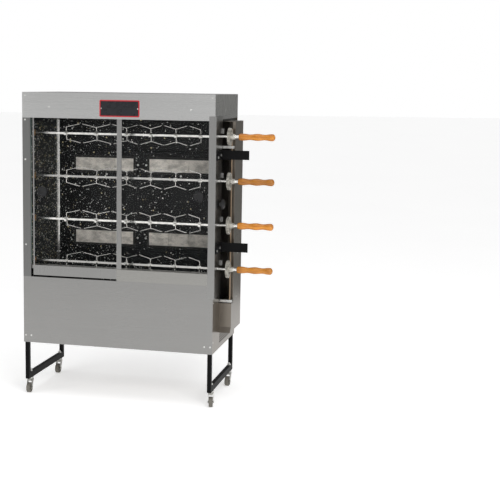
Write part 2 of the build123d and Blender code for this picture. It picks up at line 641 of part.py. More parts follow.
with BuildPart() as drive_cover:
    block((960, COVER_X), COVER_Y, (MOTOR_TOP_Z, COVER_Z[1]))
    inner = (COVER_Y[0] - 2, COVER_Y[1] - SKIN)
    block((960, COVER_X - SKIN), inner, (MOTOR_TOP_Z, COVER_Z[1] - SKIN), Mode.SUBTRACT)
    block((COVER_LIP_X, COVER_X), (COVER_Y[0], COVER_Y[0] + SKIN), (MOTOR_TOP_Z, COVER_Z[1]))
    block((CAB_W, COVER_X), (MOTOR_FRONT_Y, COVER_Y[1]), (COVER_Z[0], MOTOR_TOP_Z))
    with BuildSketch(Plane.YZ.offset(XL + CAB_W)) as apron:
        front = YF + MOTOR_FRONT_Y
        Polygon(
            (front, COVER_Z[0] + APRON[1]),
            (front - APRON[0], COVER_Z[0]),
            (front + 1, COVER_Z[0]),
            (front + 1, COVER_Z[0] + APRON[1]),
            align=None,
        )
    extrude(amount=COVER_X - CAB_W)
    room = (MOTOR_FRONT_Y + SKIN, COVER_Y[1] - SKIN)
    low = (COVER_Z[0] + SKIN, MOTOR_TOP_Z - SKIN)
    block((CAB_W, COVER_X - SKIN), room, low, Mode.SUBTRACT)
    rod_z(GEAR_X, SHAFT_Y, (MOTOR_TOP_Z - 3, MOTOR_TOP_Z + 1), 7, Mode.SUBTRACT)
    for y, z in COVER_SCREWS:
        rod_x((COVER_X - SKIN, COVER_X), y, z, SCREW_R, Mode.SUBTRACT)
save(drive_cover, "drive_cover")

# ---------------------------------------------------------------- corner cover
with BuildPart() as corner_cover:
    side_x = (CORNER_X[1] - SKIN, CORNER_X[1])
    block(CORNER_X, (-SKIN, 0), CORNER_Z)
    block(side_x, (-SKIN, CORNER_BACK_Y), CORNER_Z)
    for z in (CORNER_Z[0], CORNER_Z[1] - SKIN):
        block((CAB_W, CORNER_X[1]), (-SKIN, CORNER_BACK_Y), (z, z + SKIN))
    for z in spit_z:
        slot = (z - SLOT_HALF, z + SLOT_HALF)
        tab = (z + TAB_RISE[0], z + TAB_RISE[1])
        block(side_x, (SPIT_Y, CORNER_BACK_Y), slot, Mode.SUBTRACT)
        rod_x(side_x, SPIT_Y, z, SLOT_HALF, Mode.SUBTRACT)
        block((side_x[0], TAB_X), (CORNER_BACK_Y - SKIN, CORNER_BACK_Y), tab)
    rod_x(side_x, KNOB_Y, KNOB_Z, KNOB_STUD_R + RUNNING, Mode.SUBTRACT)
    for z in ARM_Z:
        for y, rise in ARM_BOLTS:
            rod_x(side_x, y, z + rise, 3, Mode.SUBTRACT)
save(corner_cover, "corner_cover")

with BuildPart() as cover_knob:
    with BuildSketch(Plane.XZ.offset(-YF - KNOB_Y)) as knob_outline:
        with BuildLine():
            Polyline(
                (XL + 950, KNOB_Z),
                (XL + 950, KNOB_Z + KNOB_STUD_R),
                (XL + 976.4, KNOB_Z + KNOB_STUD_R),
                (XL + 976.4, KNOB_Z + 11),
                (XL + 984, KNOB_Z + 9),
                (XL + 987, KNOB_Z + 26),
                (XL + 991, KNOB_Z + 26),
            )
            ThreePointArc(
                (XL + 991, KNOB_Z + 26),
                (XL + 999.5, KNOB_Z + 18),
                (XL + 1003, KNOB_Z + 6),
            )
            Polyline(
                (XL + 1003, KNOB_Z + 6),
                (XL + 1003, KNOB_Z),
                (XL + 950, KNOB_Z),
            )
        make_face()
    revolve(axis=Axis((XL, YF + KNOB_Y, KNOB_Z), (1, 0, 0)))
save(cover_knob, "cover_knob")

with BuildPart() as side_arms:
    for z in ARM_Z:
        half = ARM_TALL / 2
        with BuildSketch(Plane.YZ.offset(XL + CORNER_X[1])) as flange:
            Polygon(
                (YF + FLANGE_FRONT_Y, z - half),
                (YF + ARM_BACK_Y, z - half),
                (YF + ARM_BACK_Y, z + half),
                (YF + FLANGE_FRONT_Y, z + half / 2),
                align=None,
            )
        extrude(amount=ARM_T)
        block((CORNER_X[1], ARM_TIP_X), (ARM_BACK_Y - ARM_T, ARM_BACK_Y), (z - half, z + half))
        for y, rise in ARM_BOLTS:
            rod_x((CORNER_X[1], CORNER_X[1] + ARM_T), y, z + rise, 3, Mode.SUBTRACT)
save(side_arms, "side_arms")

with BuildPart() as arm_bolts:
    for z in ARM_Z:
        for y, rise in ARM_BOLTS:
            rod_x((968, CORNER_X[1] + ARM_T), y, z + rise, 3)
            with BuildSketch(Plane.YZ.offset(XL + CORNER_X[1] + ARM_T)) as hex_head:
                with Locations((YF + y, z + rise)):
                    RegularPolygon(5.8, 6)
            extrude(amount=4)
save(arm_bolts, "arm_bolts")

# ---------------------------------------------------------------- screws and rivets
with BuildPart() as fasteners:
    for x, z in FRONT_SCREWS:
        rod_y(x, (0, 3), z, SCREW_R)
        rod_y(x, (-HEAD_T, 0), z, SCREW_HEAD_R)
    for y, z in SIDE_SCREWS:
        rod_x((CAB_W - SKIN, CAB_W), y, z, SCREW_R)
        rod_x((CAB_W, CAB_W + HEAD_T), y, z, SCREW_HEAD_R)
    for y, z in COVER_SCREWS:
        rod_x((COVER_X - SKIN, COVER_X), y, z, SCREW_R)
        rod_x((COVER_X, COVER_X + HEAD_T), y, z, SCREW_HEAD_R)
    for x, z in BURNER_SCREWS:
        rod_y(x, (BACK_WALL_Y, BACK_WALL_Y + SKIN), z, SCREW_R)
        rod_y(x, (BACK_WALL_Y - HEAD_T, BACK_WALL_Y), z, BURNER_HEAD_R)
    for x, z in HOOD_RIVETS:
        rod_y(x, (0, SKIN), z, SCREW_R)
        rod_y(x, (-RIVET_T, 0), z, RIVET_HEAD_R)
    for x, z in PLATE_RIVETS:
        rod_y(x, (-PLATE_T, SKIN), z, SCREW_R)
        rod_y(x, (-HEAD_T, -PLATE_T), z, RIVET_HEAD_R)
    for y, z in HOOD_SIDE_RIVETS:
        rod_x((CAB_W - SKIN, CAB_W), y, z, SCREW_R)
        rod_x((CAB_W, CAB_W + RIVET_T), y, z, RIVET_HEAD_R)
save(fasteners, "fasteners")

# ---------------------------------------------------------------- leg frame
leg_x = (LEG_IN + TUBE / 2, CAB_W - LEG_IN - TUBE / 2)
leg_y = (LEG_IN + TUBE / 2, CAB_D - LEG_IN - TUBE / 2)
stem_y = (STEM_IN, CAB_D - STEM_IN)

with BuildPart() as leg_tubes:
    for x in leg_x:
        for y in leg_y:
            half = TUBE / 2
            block((x - half, x + half), (y - half, y + half), (BAR_Z[1], BASE_Z))
            inner = half - TUBE_WALL
            top = BASE_Z - TUBE_WALL
            block((x - inner, x + inner), (y - inner, y + inner), (BAR_Z[1], top), Mode.SUBTRACT)

with BuildPart() as bar_tubes:
    for x in leg_x:
        wide = (x - TUBE / 2, x + TUBE / 2)
        block(wide, (LEG_IN, CAB_D - LEG_IN), BAR_Z)
        inner = TUBE / 2 - TUBE_WALL
        hollow_y = (LEG_IN + TUBE_WALL, CAB_D - LEG_IN - TUBE_WALL)
        hollow_z = (BAR_Z[0] + TUBE_WALL, BAR_Z[1] - TUBE_WALL)
        block((x - inner, x + inner), hollow_y, hollow_z, Mode.SUBTRACT)
        for y in stem_y:
            rod_z(x, y, BAR_Z, STEM_R, Mode.SUBTRACT)

save_set([*leg_tubes.part.solids(), *bar_tubes.part.solids()], "leg_frame")

with BuildPart() as stem_pins:
    for x in leg_x:
        for y in stem_y:
            rod_z(x, y, STEM_Z, STEM_R)
            rod_z(x, y, (BAR_Z[0] - STEM_FLANGE[1], BAR_Z[0]), STEM_FLANGE[0])
            rod_z(x, y, (STEM_Z[0], STEM_Z[0] + STEM_HEAD[1]), STEM_HEAD[0])

with BuildPart() as stem_nuts:
    for x in leg_x:
        for y in stem_y:
            with BuildSketch(Plane.XY.offset(BAR_Z[1])) as nut:
                with Locations((XL + x, YF + y)):
                    RegularPolygon(9.2, 6)
                    Circle(STEM_R, mode=Mode.SUBTRACT)
            extrude(amount=8)

save_set([*stem_pins.part.solids(), *stem_nuts.part.solids()], "caster_stems")

with BuildPart() as fork_form:
    with Locations((3, 0, 63)):
        Box(28, 25, 6)
    with Locations((0, 0, 67.8)):
        Cylinder(14, 3.6)
    for side in (-1, 1):
        with BuildSketch(Plane.XZ.offset(side * 12 - 1)) as cheek:
            Polygon((-11, 66), (17, 66), (28, 28), (13, 20), align=None)
            with Locations((TRAIL, WHEEL_R)):
                Circle(9)
        extrude(amount=2)
    with Locations(Location((TRAIL, 0, WHEEL_R), (90, 0, 0))):
        Cylinder(AXLE_R, 26)
    for side in (-1, 1):
        with Locations(Location((TRAIL, side * 14, WHEEL_R), (90, 0, 0))):
            Cylinder(6, 3)
    Cylinder(STEM_R + RUNNING, 200, mode=Mode.SUBTRACT)

with BuildPart() as wheel_form:
    with BuildSketch(Plane.XZ.offset(-WHEEL_W / 2)):
        with Locations((TRAIL, WHEEL_R)):
            Circle(WHEEL_R)
    extrude(amount=WHEEL_W)
    fillet(wheel_form.edges().filter_by(GeomType.CIRCLE), 3)
    for side in (-1, 1):
        with Locations(Location((TRAIL, side * 9.0, WHEEL_R), (90, 0, 0))):
            Cylinder(17, 3, mode=Mode.SUBTRACT)
        with Locations(Location((TRAIL, side * 8.5, WHEEL_R), (90, 0, 0))):
            Cylinder(7, 3)
    with Locations(Location((TRAIL, 0, WHEEL_R), (90, 0, 0))):
        Cylinder(AXLE_R + RUNNING, 40, mode=Mode.SUBTRACT)

corners = [(x, y) for y in stem_y for x in leg_x]
for k, (x, y) in enumerate(corners):
    place = Location((XL + x, YF + y, 0), (0, 0, CASTER_TURN[k]))
    with BuildPart() as caster_fork:
        with Locations(place):
            add(fork_form.part)
    save(caster_fork, f"caster_{k + 1}_fork")

    with BuildPart() as caster_wheel:
        with Locations(place):
            add(wheel_form.part)
    save(caster_wheel, f"caster_{k + 1}_wheel")
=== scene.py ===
"""Looks of a gas rotisserie oven: stainless cabinet, enamelled chamber, four driven spits, glass doors.

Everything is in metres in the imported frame: the front faces -Y, the drive side is +X and +Z is up.
"""
import logging
import math
from dataclasses import dataclass
from enum import Enum
from typing import Dict, List, Optional, Sequence, Tuple

import bmesh
import bpy
import numpy as np
from mathutils import Matrix, Vector


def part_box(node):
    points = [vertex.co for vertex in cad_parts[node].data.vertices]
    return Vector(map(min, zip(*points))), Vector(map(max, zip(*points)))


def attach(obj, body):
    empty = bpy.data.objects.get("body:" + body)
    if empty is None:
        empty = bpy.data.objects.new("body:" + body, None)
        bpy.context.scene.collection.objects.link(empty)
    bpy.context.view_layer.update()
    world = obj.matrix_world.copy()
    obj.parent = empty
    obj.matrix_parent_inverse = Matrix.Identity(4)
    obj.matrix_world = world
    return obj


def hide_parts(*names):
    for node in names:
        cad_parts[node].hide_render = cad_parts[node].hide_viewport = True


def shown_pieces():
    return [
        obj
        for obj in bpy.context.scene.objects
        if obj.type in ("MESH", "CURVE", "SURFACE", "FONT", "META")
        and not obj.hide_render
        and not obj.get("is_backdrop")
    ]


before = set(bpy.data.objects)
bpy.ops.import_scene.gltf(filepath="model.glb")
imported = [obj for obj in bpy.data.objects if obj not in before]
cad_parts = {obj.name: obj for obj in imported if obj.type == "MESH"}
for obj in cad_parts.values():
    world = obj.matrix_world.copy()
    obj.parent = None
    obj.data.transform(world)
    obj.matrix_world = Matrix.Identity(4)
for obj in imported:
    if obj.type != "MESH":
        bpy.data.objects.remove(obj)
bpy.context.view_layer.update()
LOG = logging.getLogger("rotisserie")

Colour = Tuple[float, float, float]
MM = 0.001
WELD = 2e-6  # vertices closer than this are one
FLAT_ANGLE = math.radians(1.0)  # faces that turn less than this are one flat face
FOLD_ANGLE = math.radians(40.0)  # edges that turn more than this are rounded
WOOD_SHADES = (1.0, 0.66, 1.06, 0.84)


# --------------------------------------------------------------------------- node trees
class Tree:
    """A material's node tree with short calls to add nodes and joins."""

    def __init__(self, name: str) -> None:
        """Starts a material with one Principled shader.

        Args:
            name: the material's name.
        """
        self.material = bpy.data.materials.new(name)
        self.material.use_nodes = True
        self.nodes = self.material.node_tree.nodes
        self.links = self.material.node_tree.links
        self.shader = self.nodes["Principled BSDF"]
        self.place = self.nodes.new("ShaderNodeTexCoord").outputs["Object"]

    def put(self, kind: str, inputs: Optional[dict] = None, **settings: object) -> bpy.types.Node:
        """Adds a node.

        Args:
            kind: the node's type name without its ShaderNode prefix.
            inputs: values or output sockets for its inputs, by name or index.
            settings: values for the node's own properties.

        Returns:
            The new node.
        """
        node = self.nodes.new("ShaderNode" + kind)
        for key, value in settings.items():
            setattr(node, key, value)
        for key, value in (inputs or {}).items():
            self.feed(node.inputs[key], value)
        return node

    def feed(self, socket: bpy.types.NodeSocket, value: object) -> None:
        """Joins an output to a socket, or sets the socket's value."""
        if isinstance(value, bpy.types.NodeSocket):
            self.links.new(value, socket)
        else:
            socket.default_value = value

    def math(self, operation: str, *values: object) -> bpy.types.NodeSocket:
        """Returns the output of a Math node over one to three values."""
        inputs = dict(enumerate(values))
        return self.put("Math", inputs, operation=operation).outputs[0]

    def stretched(self, scale: Sequence[float]) -> bpy.types.NodeSocket:
        """Returns the object coordinates multiplied by a scale for each axis."""
        return self.put("Mapping", {"Vector": self.place, "Scale": tuple(scale)}).outputs[0]

    def jitter(self, scale: float, reach: float) -> bpy.types.NodeSocket:
        """Returns small random offsets that vary over the surface.

        Args:
            scale: waves for each metre.
            reach: largest offset in metres.
        """
        wave = self.put("TexNoise", {"Vector": self.place, "Scale": scale, "Detail": 1.0})
        centred = self.put("VectorMath", {0: wave.outputs["Color"], 1: (0.5, 0.5, 0.5)}, operation="SUBTRACT")
        return self.put("VectorMath", {0: centred.outputs[0], "Scale": reach}, operation="SCALE").outputs[0]

    def noise(self, scale: Sequence[float], detail: float = 3.0, rough: float = 0.55) -> bpy.types.NodeSocket:
        """Returns fractal noise on the stretched object coordinates, from 0 to 1."""
        inputs = {"Vector": self.stretched(scale), "Scale": 1.0, "Detail": detail, "Roughness": rough}
        return self.put("TexNoise", inputs).outputs["Fac"]

    def ramp(self, value: object, stops: Sequence[Tuple[float, Colour]]) -> bpy.types.NodeSocket:
        """Returns a colour ramp's colour at a value.

        Args:
            value: the socket that drives the ramp.
            stops: pairs of position and colour.
        """
        node = self.put("ValToRGB", {"Fac": value})
        ramp = node.color_ramp
        while len(ramp.elements) < len(stops):
            ramp.elements.new(0.5)
        for element, (position, colour) in zip(ramp.elements, stops):
            element.position = position
            element.color = (*colour, 1.0)
        return node.outputs["Color"]

    def spread(self, value: object, low: float, high: float) -> bpy.types.NodeSocket:
        """Returns a value from 0 to 1 mapped onto the range low to high."""
        return self.put("MapRange", {"Value": value, "To Min": low, "To Max": high}).outputs["Result"]

    def blend(self, factor: object, first: object, second: object) -> bpy.types.NodeSocket:
        """Returns two colours mixed by a factor."""
        node = self.put("Mix", data_type="RGBA")
        self.feed(node.inputs[0], factor)
        self.feed(node.inputs[6], first if isinstance(first, bpy.types.NodeSocket) else (*first, 1.0))
        self.feed(node.inputs[7], second if isinstance(second, bpy.types.NodeSocket) else (*second, 1.0))
        return node.outputs[2]

    def bump(self, height: object, depth: float, strength: float = 1.0) -> None:
        """Joins a height to the shader's normal.

        Args:
            height: socket with the height, about 0 to 1.
            depth: what a height of 1 stands for, in metres.
            strength: share of the effect.
        """
        node = self.put("Bump", {"Height": height, "Distance": depth, "Strength": strength})
        self.links.new(node.outputs["Normal"], self.shader.inputs["Normal"])

    def set(self, **values: object) -> None:
        """Sets or joins the shader's inputs; underscores in names stand for spaces."""
        for key, value in values.items():
            self.feed(self.shader.inputs[key.replace("_", " ")], value)


class Grain(Enum):
    """Direction of a sheet's brushing."""

    ALONG_X = (2.0, 900.0, 900.0)
    ALONG_Z = (900.0, 900.0, 2.0)


@dataclass(frozen=True)
class BrushedSteel:
    """Stainless sheet with fine straight brushing, slow waves of painted reflection and faint hand marks."""

    name: str
    grain: Grain = Grain.ALONG_Z
    tone: Colour = (0.50, 0.495, 0.48)
    roughness: float = 0.32

    def make(self) -> bpy.types.Material:
        """Returns the finished material."""
        tree = Tree(self.name)
        streak = tree.noise(self.grain.value, 4.0, 0.7)
        # slow waves of tone along the grain: painted reflection, broad lighter and darker bands standing in
        # for the sheet's changing reflection
        reflection_wave = tree.noise([v * 0.02 if v > 10 else v * 0.5 for v in self.grain.value], 2.0)
        cloud = tree.noise((3.0, 3.0, 2.0), 3.0)
        light = tuple(min(1.0, c * 1.06) for c in self.tone)
        dark = tuple(c * 0.94 for c in self.tone)
        mixed = tree.math("MULTIPLY_ADD", streak, 0.8, tree.math("MULTIPLY", reflection_wave, 0.2))
        tree.set(Base_Color=tree.ramp(mixed, [(0.28, dark), (0.5, self.tone), (0.72, light)]))
        smear = tree.math("MULTIPLY_ADD", cloud, 0.12, tree.math("MULTIPLY", streak, 0.14))
        tree.set(Metallic=1.0, Roughness=tree.math("ADD", smear, self.roughness - 0.13))
        height = tree.math("MULTIPLY_ADD", streak, 0.03, tree.math("MULTIPLY", cloud, 0.6))
        tree.bump(height, 0.0010, 0.5)
        return tree.material


@dataclass(frozen=True)
class FleckedEnamel:
    """Black vitreous enamel with white and tan flecks, thicker towards the left."""

    name: str
    flecks: float = 0.5
    base: Colour = (0.0025, 0.0025, 0.003)

    def layer(self, tree: Tree, scale: float, size: float, share: object) -> bpy.types.NodeSocket:
        """Returns a mask of flecks.

        Args:
            tree: the material's tree.
            scale: cells for each metre.
            size: fleck radius as a share of its cell.
            share: share of the cells that hold a fleck, as a number or a socket.
        """
        ragged = tree.put("VectorMath", {0: tree.place, 1: tree.jitter(260.0, 0.0022)}, operation="ADD")
        cells = tree.put("TexVoronoi", {"Vector": ragged.outputs[0], "Scale": scale, "Randomness": 1.0})
        pick = tree.put("SeparateColor", {"Color": cells.outputs["Color"]}).outputs
        radius = tree.math("MULTIPLY", tree.math("ADD", pick[1], 0.35), size)
        near = tree.math("LESS_THAN", cells.outputs["Distance"], radius)
        return tree.math("MULTIPLY", near, tree.math("LESS_THAN", pick[0], share))

    def make(self) -> bpy.types.Material:
        """Returns the finished material."""
        tree = Tree(self.name)
        across = tree.put("SeparateXYZ", {"Vector": tree.place}).outputs[0]
        fade = tree.put("MapRange", {"Value": across, "From Min": -0.58, "From Max": 0.0}).outputs["Result"]
        crowd = tree.math("MULTIPLY", tree.spread(fade, 2.4, 0.7), self.flecks)
        fine = self.layer(tree, 110.0, 0.27, tree.math("MULTIPLY", crowd, 0.26))
        coarse = self.layer(tree, 42.0, 0.135, tree.math("MULTIPLY", crowd, 0.34))
        tan = self.layer(tree, 70.0, 0.19, tree.math("MULTIPLY", crowd, 0.22))
        soot = tree.noise((4.0, 4.0, 5.0), 4.0)
        ground = tree.ramp(soot, [(0.35, self.base), (0.7, tuple(c * 2.0 for c in self.base))])
        white = tree.blend(tree.math("MAXIMUM", fine, coarse), ground, (0.97, 0.97, 0.92))
        tree.set(Base_Color=tree.blend(tan, white, (0.86, 0.74, 0.42)))
        tree.set(Roughness=tree.spread(soot, 0.30, 0.48), Specular_IOR_Level=0.24)
        tree.bump(tree.math("MAXIMUM", fine, coarse), 0.0003, 0.5)
        return tree.material


@dataclass(frozen=True)
class Painted:
    """Sprayed or powder-coated paint with orange peel and a slight change of tone."""

    name: str
    tone: Colour
    roughness: float = 0.42
    peel: float = 420.0
    sheen: float = 0.3

    def make(self) -> bpy.types.Material:
        """Returns the finished material."""
        tree = Tree(self.name)
        cloud = tree.noise((9.0, 9.0, 9.0), 3.0)
        dust = tree.noise((140.0, 140.0, 140.0), 4.0, 0.7)
        worn = tuple(min(1.0, c * 1.4 + 0.001) for c in self.tone)
        tree.set(Base_Color=tree.ramp(cloud, [(0.3, self.tone), (0.75, worn)]))
        tree.set(Roughness=tree.spread(dust, self.roughness - 0.1, self.roughness + 0.12))
        tree.shader.inputs["Specular IOR Level"].default_value = self.sheen
        tree.bump(tree.noise((self.peel,) * 3, 1.0), 0.00025, 0.5)
        return tree.material


@dataclass(frozen=True)
class PlainMetal:
    """Solid metal with a fine grain: plated steel, drawn bar, brass or bronze."""

    name: str
    tone: Colour
    roughness: float = 0.25
    scale: Tuple[float, float, float] = (220.0, 220.0, 220.0)
    mottle: float = 0.15

    def make(self) -> bpy.types.Material:
        """Returns the finished material."""
        tree = Tree(self.name)
        grain = tree.noise(self.scale, 4.0, 0.65)
        cloud = tree.noise((30.0, 30.0, 30.0), 3.0)
        dark = tuple(c * (1.0 - self.mottle * 1.6) for c in self.tone)
        light = tuple(min(1.0, c * (1.0 + self.mottle)) for c in self.tone)
        tree.set(Base_Color=tree.ramp(cloud, [(0.3, dark), (0.5, self.tone), (0.72, light)]))
        tree.set(Metallic=1.0)
        tree.set(Roughness=tree.spread(grain, self.roughness - 0.07, self.roughness + 0.12))
        tree.bump(grain, 0.00018, 0.5)
        return tree.material


@dataclass(frozen=True)
class SandCast:
    """Light cast alloy with a pitted skin and grime in its low spots."""

    name: str
    tone: Colour = (0.56, 0.54, 0.49)

    def make(self) -> bpy.types.Material:
        """Returns the finished material."""
        tree = Tree(self.name)
        pits = tree.noise((420.0, 420.0, 420.0), 5.0, 0.7)
        grime = tree.noise((70.0, 70.0, 70.0), 4.0, 0.6)
        dirty = tuple(c * 0.42 for c in self.tone)
        tree.set(Base_Color=tree.ramp(grime, [(0.34, dirty), (0.55, self.tone)]))
        tree.set(Metallic=0.75, Roughness=tree.spread(pits, 0.36, 0.62))
        tree.bump(pits, 0.0005, 0.7)
        return tree.material


@dataclass(frozen=True)
class TurnedWood:
    """Varnished turned wood with long grain, fine pores and a warm orange tone."""

    name: str
    shade: float = 1.0
    dark: Colour = (0.30, 0.088, 0.006)
    light: Colour = (0.72, 0.285, 0.024)

    def make(self) -> bpy.types.Material:
        """Returns the finished material."""
        tree = Tree(self.name)
        bend = tree.noise((7.0, 45.0, 45.0), 3.0)
        figure = tree.noise((9.0, 210.0, 210.0), 5.0, 0.6)
        pores = tree.noise((55.0, 1500.0, 1500.0), 2.0)
        mixed = tree.math("MULTIPLY_ADD", bend, 0.5, tree.math("MULTIPLY", figure, 0.5))
        dark, light = (tuple(c * self.shade for c in tone) for tone in (self.dark, self.light))
        middle = tuple((a + b) / 2 for a, b in zip(dark, light))
        wood = tree.ramp(mixed, [(0.33, dark), (0.48, middle), (0.66, light)])
        pore_mask = tree.spread(tree.math("LESS_THAN", pores, 0.34), 0.0, 0.45)
        tree.set(Base_Color=tree.blend(pore_mask, wood, tuple(c * 0.5 for c in dark)))
        tree.set(Roughness=tree.spread(figure, 0.34, 0.5), Specular_IOR_Level=0.2)
        tree.set(Coat_Weight=0.7, Coat_Roughness=0.06)
        tree.bump(figure, 0.0002, 0.35)
        return tree.material


@dataclass(frozen=True)
class PerforatedCeramic:
    """Unglazed burner plate: fine rows of gas holes, mottled beige and lightly scorched."""

    name: str
    pitch: float = 0.0042
    hole: float = 0.24
    tone: Colour = (0.93, 0.88, 0.80)

    def make(self) -> bpy.types.Material:
        """Returns the finished material.

        The holes lie where the distance to the nearest point of a square lattice turned by 45 degrees is
        below the hole's radius.
        """
        tree = Tree(self.name)
        split = tree.put("SeparateXYZ", {"Vector": tree.place})
        squares = []
        for operation in ("ADD", "SUBTRACT"):
            slant = tree.math(operation, split.outputs[0], split.outputs[2])
            cell = tree.math("FRACT", tree.math("DIVIDE", slant, self.pitch * math.sqrt(2.0)))
            squares.append(tree.math("POWER", tree.math("ABSOLUTE", tree.math("SUBTRACT", cell, 0.5)), 2.0))
        radius = tree.math("SQRT", tree.math("ADD", *squares))
        hole = tree.math("LESS_THAN", radius, self.hole)
        scorch = tree.noise((22.0, 22.0, 40.0), 5.0, 0.65)
        tone = tree.ramp(scorch, [(0.36, tuple(c * 0.55 for c in self.tone)), (0.58, self.tone)])
        tree.set(Base_Color=tree.blend(tree.math("MULTIPLY", hole, 0.55), tone, (0.13, 0.11, 0.09)))
        tree.set(Roughness=0.9)
        dust = tree.noise((900.0, 900.0, 900.0), 2.0)
        tree.bump(tree.math("SUBTRACT", tree.math("MULTIPLY", dust, 0.25), hole), 0.0006, 0.8)
        return tree.material


@dataclass(frozen=True)
class Moulded:
    """Black phenolic or rubber moulding with a faint haze."""

    name: str
    tone: Colour = (0.006, 0.006, 0.0065)
    roughness: float = 0.26
    sheen: float = 0.35

    def make(self) -> bpy.types.Material:
        """Returns the finished material."""
        tree = Tree(self.name)
        haze = tree.noise((60.0, 60.0, 60.0), 4.0, 0.6)
        pale = tuple(c * 1.6 + 0.004 for c in self.tone)
        tree.set(Base_Color=tree.ramp(haze, [(0.35, self.tone), (0.75, pale)]))
        tree.set(Roughness=tree.spread(haze, self.roughness - 0.05, self.roughness + 0.15))
        tree.shader.inputs["Specular IOR Level"].default_value = self.sheen
        tree.bump(tree.noise((600.0, 600.0, 600.0), 2.0), 0.00012, 0.5)
        return tree.material


@dataclass(frozen=True)
class TemperedGlass:
    """Clear glass pane: mostly see-through, with a faint film of grease."""

    name: str
    tone: Colour = (0.02, 0.025, 0.024)
    cover: float = 0.05

    def make(self) -> bpy.types.Material:
        """Returns the finished material."""
        tree = Tree(self.name)
        film = tree.noise((6.0, 6.0, 9.0), 4.0)
        tree.set(Base_Color=tree.ramp(film, [(0.3, self.tone), (0.8, tuple(c * 1.1 for c in self.tone))]))
        tree.set(
            Roughness=tree.spread(film, 0.02, 0.07),
            Alpha=tree.spread(film, self.cover * 0.6, self.cover * 1.4),
        )
        tree.material.surface_render_method = "BLENDED"
        return tree.material


@dataclass(frozen=True)
class BorderedPlate:
    """Dark enamel plate with a red border and no lettering."""

    name: str
    centre: Tuple[float, float]
    half: Tuple[float, float]
    ground: Colour = (0.009, 0.009, 0.011)
    border: Colour = (0.42, 0.012, 0.02)

    def make(self) -> bpy.types.Material:
        """Returns the finished material.

        The distance to the nearest edge is the smaller of the half sizes less the distances from the centre.
        """
        tree = Tree(self.name)
        split = tree.put("SeparateXYZ", {"Vector": tree.place})
        gaps = []
        for axis, middle, half in ((0, self.centre[0], self.half[0]), (2, self.centre[1], self.half[1])):
            off = tree.math("ABSOLUTE", tree.math("SUBTRACT", split.outputs[axis], middle))
            gaps.append(tree.math("SUBTRACT", half, off))
        inset = tree.math("MINIMUM", *gaps)
        red = tree.math("LESS_THAN", inset, 0.0052)
        cloud = tree.noise((40.0, 40.0, 40.0), 3.0)
        ground = tree.ramp(cloud, [(0.3, self.ground), (0.8, tuple(c * 1.7 for c in self.ground))])
        tree.set(Base_Color=tree.blend(red, ground, self.border), Specular_IOR_Level=0.3)
        tree.set(Roughness=tree.spread(cloud, 0.2, 0.36))
        tree.bump(red, 0.0003, 0.6)
        return tree.material


# --------------------------------------------------------------------------- meshes
def mesh_piece(
    name: str, points: np.ndarray, faces: Sequence[Sequence[int]], smooth: bool = True
) -> bpy.types.Object:
    """Makes an object from points and faces.

    Args:
        name: the piece's name.
        points: array of shape (n, 3), in metres.
        faces: corner indices of each face.
        smooth: whether the faces are shaded smooth.

    Returns:
        The new object, linked to the scene.
    """
    mesh = bpy.data.meshes.new(name)
    mesh.from_pydata(points.tolist(), [], [list(map(int, f)) for f in faces])
    mesh.polygons.foreach_set("use_smooth", np.full(len(mesh.polygons), smooth))
    mesh.update()
    piece = bpy.data.objects.new(name, mesh)
    bpy.context.scene.collection.objects.link(piece)
    return piece


def grid_faces(rows: int, columns: int, start: int = 0, wrap: bool = True) -> np.ndarray:
    """Corner indices of the quads between the points of a grid.

    Args:
        rows: points along the first parameter.
        columns: points along the second parameter.
        start: index of the grid's first point.
        wrap: whether the second parameter closes on itself.

    Returns:
        Array of shape (quads, 4).
    """
    r, c = np.meshgrid(np.arange(rows - 1), np.arange(columns if wrap else columns - 1), indexing="ij")
    n = (c + 1) % columns
    quads = np.stack([r * columns + c, r * columns + n, (r + 1) * columns + n, (r + 1) * columns + c], -1)
    return quads.reshape(-1, 4) + start


def ring_stack(rings: np.ndarray, start: int = 0) -> List[Sequence[int]]:
    """Faces of a closed solid whose rings follow one another, with a flat cap at each end.

    Args:
        rings: array of shape (rows, columns, 3).
        start: index of the first point.

    Returns:
        The quads and the two caps.
    """
    rows, columns = rings.shape[:2]
    faces = [tuple(f) for f in grid_faces(rows, columns, start)]
    faces.append(tuple(start + np.arange(columns)[::-1]))
    faces.append(tuple(start + (rows - 1) * columns + np.arange(columns)))
    return faces


def lathe(along: np.ndarray, radius: np.ndarray, origin: Vector, axis: Vector, sides: int = 48) -> np.ndarray:
    """Rings of a turned form: at each place along the axis, a circle of that place's radius.

    Args:
        along: distances from the origin along the axis.
        radius: the radius at each distance.
        origin: the point where the distance is 0.
        axis: unit vector of the axis.
        sides: points in each ring.

    Returns:
        Array of shape (rows, sides, 3).
    """
    a = np.array(axis, float)
    helper = np.array([0.0, 0.0, 1.0]) if abs(a[2]) < 0.9 else np.array([1.0, 0.0, 0.0])
    u = np.cross(helper, a)
    u /= np.linalg.norm(u)
    v = np.cross(a, u)
    turn = np.linspace(0.0, 2.0 * math.pi, sides, endpoint=False)
    circle = np.cos(turn)[:, None] * u + np.sin(turn)[:, None] * v
    centre = np.array(origin, float) + np.asarray(along)[:, None] * a
    return centre[:, None, :] + np.asarray(radius)[:, None, None] * circle[None]


def joined(name: str, stacks: Sequence[np.ndarray], smooth: bool = True) -> bpy.types.Object:
    """Makes one piece from several closed ring stacks.

    Args:
        name: the piece's name.
        stacks: arrays of rings.
        smooth: whether the faces are shaded smooth.

    Returns:
        The new object with its faces pointing outwards.
    """
    points, faces, start = [], [], 0
    for rings in stacks:
        points.append(rings.reshape(-1, 3))
        faces.extend(ring_stack(rings, start))
        start += rings.shape[0] * rings.shape[1]
    piece = mesh_piece(name, np.concatenate(points), faces, smooth)
    outward(piece)
    return piece


